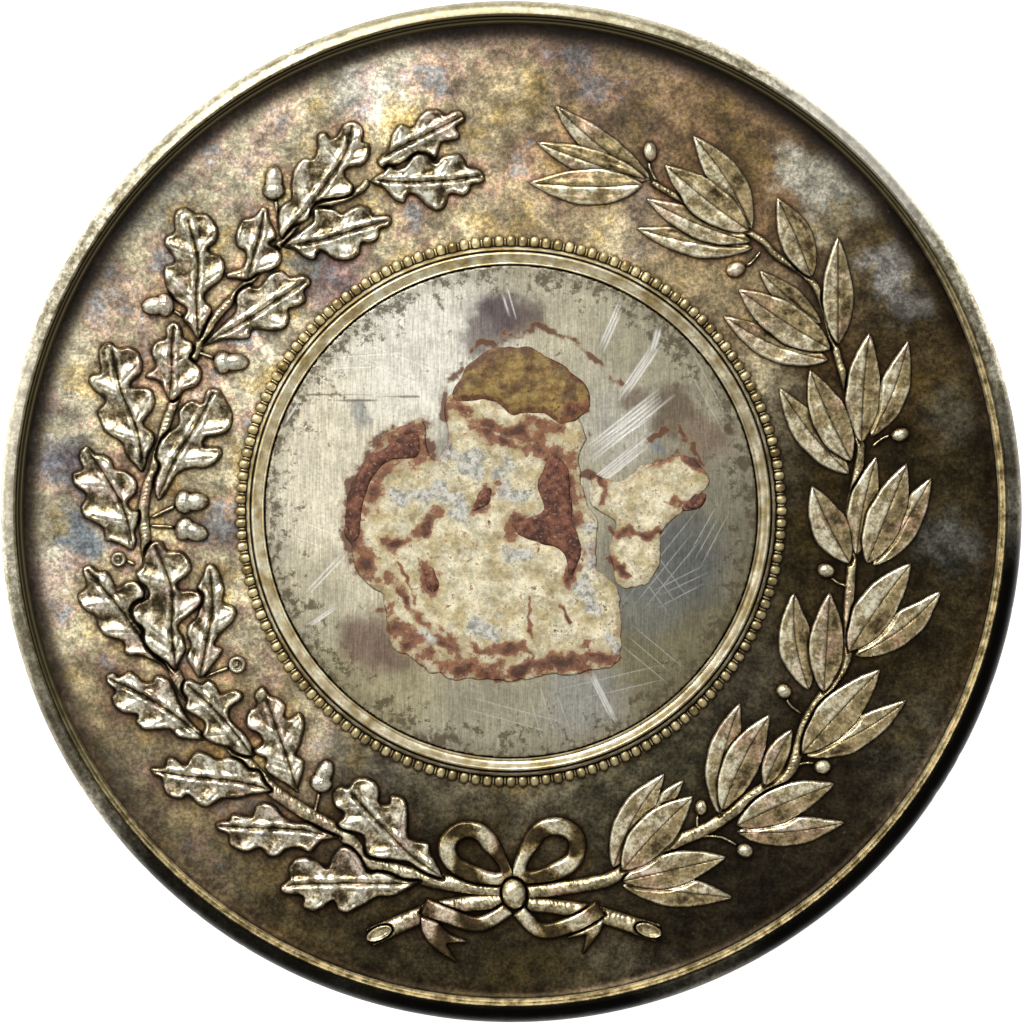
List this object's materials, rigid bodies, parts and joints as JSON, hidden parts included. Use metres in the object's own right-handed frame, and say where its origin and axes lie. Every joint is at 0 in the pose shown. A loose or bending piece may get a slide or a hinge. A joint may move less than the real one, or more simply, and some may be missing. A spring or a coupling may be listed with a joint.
{
  "type": "prize medal",
  "caption": "Round struck silver prize medal with a blank centre plate inside oak and laurel branches tied with a ribbon bow.",
  "frame": {"origin": "centre of the back rim, on the surface that the medal lies on", "axes": "+Z out of the front face, +Y towards the top of the design, +X to its right"},
  "size_m": [0.05, 0.05, 0.004],
  "materials": {
    "silver_field": "struck silver with a brown and grey tarnish, darkest along the relief",
    "silver_rim": "struck silver, rubbed bright on the outer curve, with small dents",
    "silver_plate": "brushed silver with scratches and a grey stain",
    "silver_moulding": "struck silver, bright on the ridges and black in the grooves",
    "silver_oak": "struck silver, rubbed bright on the lobes and dark in the veins",
    "silver_laurel": "struck silver with a warm tarnish",
    "silver_stems": "struck silver with a warm tarnish",
    "silver_ribbon": "struck silver with fine ribs",
    "dried_glue": "dried, cracked cream glue, matt",
    "stained_glue": "dried glue stained olive brown, matt",
    "red_crust": "dark red brown crust, matt and grainy"
  },
  "bodies": {
    "root": {"flan": "silver_field", "front_rim_step": "silver_field", "back_rim_step": "silver_field", "front_listel": "silver_rim", "back_listel": "silver_rim", "cartouche_plate": "silver_plate", "cartouche_moulding": "silver_moulding", "cartouche_beads": "silver_moulding", "oak_spray_1": "silver_oak", "oak_spray_2": "silver_oak", "oak_spray_3": "silver_oak", "oak_spray_4": "silver_oak", "oak_spray_5": "silver_oak", "oak_spray_6": "silver_oak", "oak_spray_7": "silver_oak", "oak_spray_8": "silver_oak", "acorn_cups": "silver_oak", "acorn_nuts": "silver_oak", "laurel_spray_1": "silver_laurel", "laurel_spray_2": "silver_laurel", "laurel_spray_3": "silver_laurel", "laurel_spray_4": "silver_laurel", "laurel_spray_5": "silver_laurel", "laurel_spray_6": "silver_laurel", "laurel_spray_7": "silver_laurel", "laurel_spray_8": "silver_laurel", "laurel_spray_9": "silver_laurel", "laurel_berries": "silver_laurel", "oak_stem": "silver_stems", "oak_cut_stem": "silver_stems", "laurel_stem": "silver_stems", "laurel_cut_stem": "silver_stems", "ribbon_knot": "silver_ribbon", "ribbon_loop_left": "silver_ribbon", "ribbon_loop_right": "silver_ribbon", "ribbon_tail_left": "silver_ribbon", "ribbon_tail_right": "silver_ribbon", "glue_patch": "dried_glue", "glue_lump": "stained_glue", "red_crust": "red_crust"}
  },
  "joints": []
}
